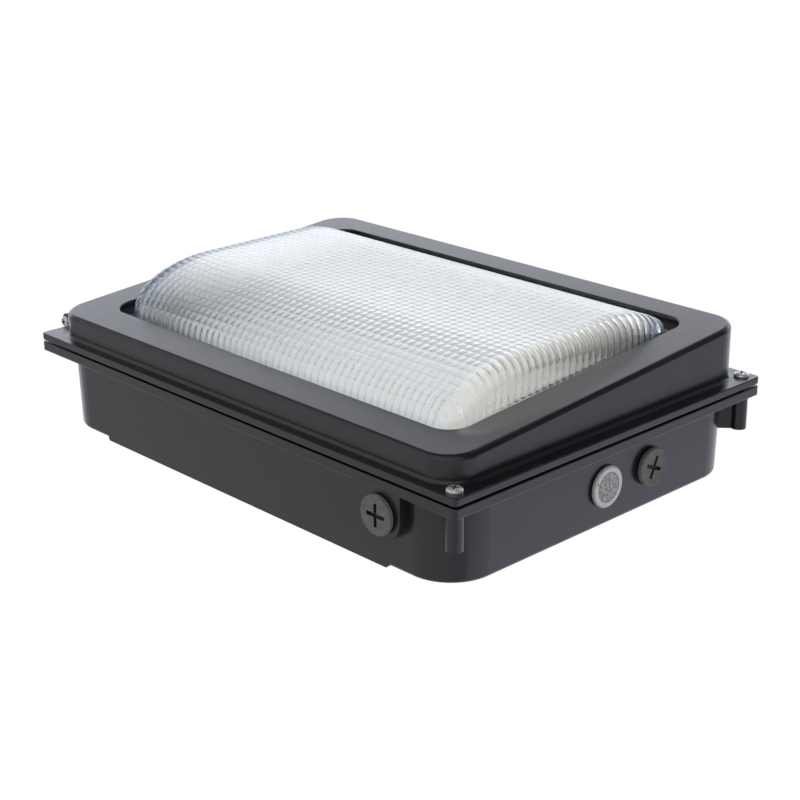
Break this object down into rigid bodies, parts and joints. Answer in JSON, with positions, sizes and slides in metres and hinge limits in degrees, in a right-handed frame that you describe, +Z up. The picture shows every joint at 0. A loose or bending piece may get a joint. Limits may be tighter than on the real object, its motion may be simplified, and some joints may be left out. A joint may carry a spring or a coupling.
{
  "type": "outdoor wall light",
  "caption": "Box-shaped outdoor wall light: die-cast back box, hinged wedge-shaped door with a clear prismatic glass lens, photocell button and plugged conduit entries.",
  "frame": {"origin": "centre of the back face that lies on the wall, which is the centre of its four wall bolts", "axes": "+Z up the wall, +X to the right seen from the front, +Y into the wall, so the lens faces -Y"},
  "size_m": [0.4115, 0.112, 0.2791],
  "materials": {
    "cast_black": "satin powder coat",
    "glass": "clear prismatic",
    "seal_black": "matte",
    "bright_steel": "zinc plated",
    "plug_grey": "matte",
    "cell_window": "translucent",
    "cell_body": "matte",
    "sensor_dark": "gloss",
    "white_sheet": "white enamel",
    "board_white": "matte",
    "led_yellow": "gloss",
    "driver_grey": "matte",
    "terminal_white": "matte",
    "ground_green": "green plated",
    "lead_white": "satin",
    "lead_black": "satin"
  },
  "bodies": {
    "housing": {"rear_housing": "cast_black", "housing_hinges": "cast_black", "door_gasket": "seal_black", "photocell_gasket": "seal_black", "hinge_screws": "bright_steel", "tray_screws": "bright_steel", "board_screws": "bright_steel", "reflector_rivets": "bright_steel", "driver_screws": "bright_steel", "terminal_screws": "bright_steel", "photocell_window": "cell_window", "photocell_body": "cell_body", "photocell_nut": "cell_body", "photocell_sensor": "sensor_dark", "led_tray": "white_sheet", "reflector": "white_sheet", "led_board": "board_white", "led_chips": "led_yellow", "led_driver": "driver_grey", "terminal_block": "terminal_white", "ground_screw": "ground_green", "ground_lead": "ground_green", "led_leads": "lead_white", "mains_leads": "lead_black", "photocell_leads": "lead_black"},
    "door": {"front_frame": "cast_black", "door_hinges": "cast_black", "lens": "glass", "lens_gasket": "seal_black", "lens_clips": "bright_steel", "clip_screws": "bright_steel"},
    "upper_screw": {"upper_door_screw": "bright_steel"},
    "lower_screw": {"lower_door_screw": "bright_steel"},
    "bottom_entry_plug": {"bottom_plug": "plug_grey", "bottom_plug_seal": "seal_black"},
    "right_entry_plug": {"right_plug": "plug_grey", "right_plug_seal": "seal_black"},
    "left_entry_plug": {"left_plug": "plug_grey", "left_plug_seal": "seal_black"}
  },
  "joints": [
    {"name": "door_hinge", "type": "hinge", "parent": "housing", "child": "door", "pos_m": [-0.206, -0.0655, 0], "axis": [0, 0, -1], "range_deg": [0, 120]},
    {"name": "upper_screw_out", "type": "slide", "parent": "door", "child": "upper_screw", "axis": [0, -1, 0], "range_m": [0, 0.0085]},
    {"name": "lower_screw_out", "type": "slide", "parent": "door", "child": "lower_screw", "axis": [0, -1, 0], "range_m": [0, 0.0085]},
    {"name": "bottom_plug_out", "type": "slide", "parent": "housing", "child": "bottom_entry_plug", "axis": [0, 0, -1], "range_m": [0, 0.01]},
    {"name": "right_plug_out", "type": "slide", "parent": "housing", "child": "right_entry_plug", "axis": [1, 0, 0], "range_m": [0, 0.01]},
    {"name": "left_plug_out", "type": "slide", "parent": "housing", "child": "left_entry_plug", "axis": [-1, 0, 0], "range_m": [0, 0.01]}
  ]
}
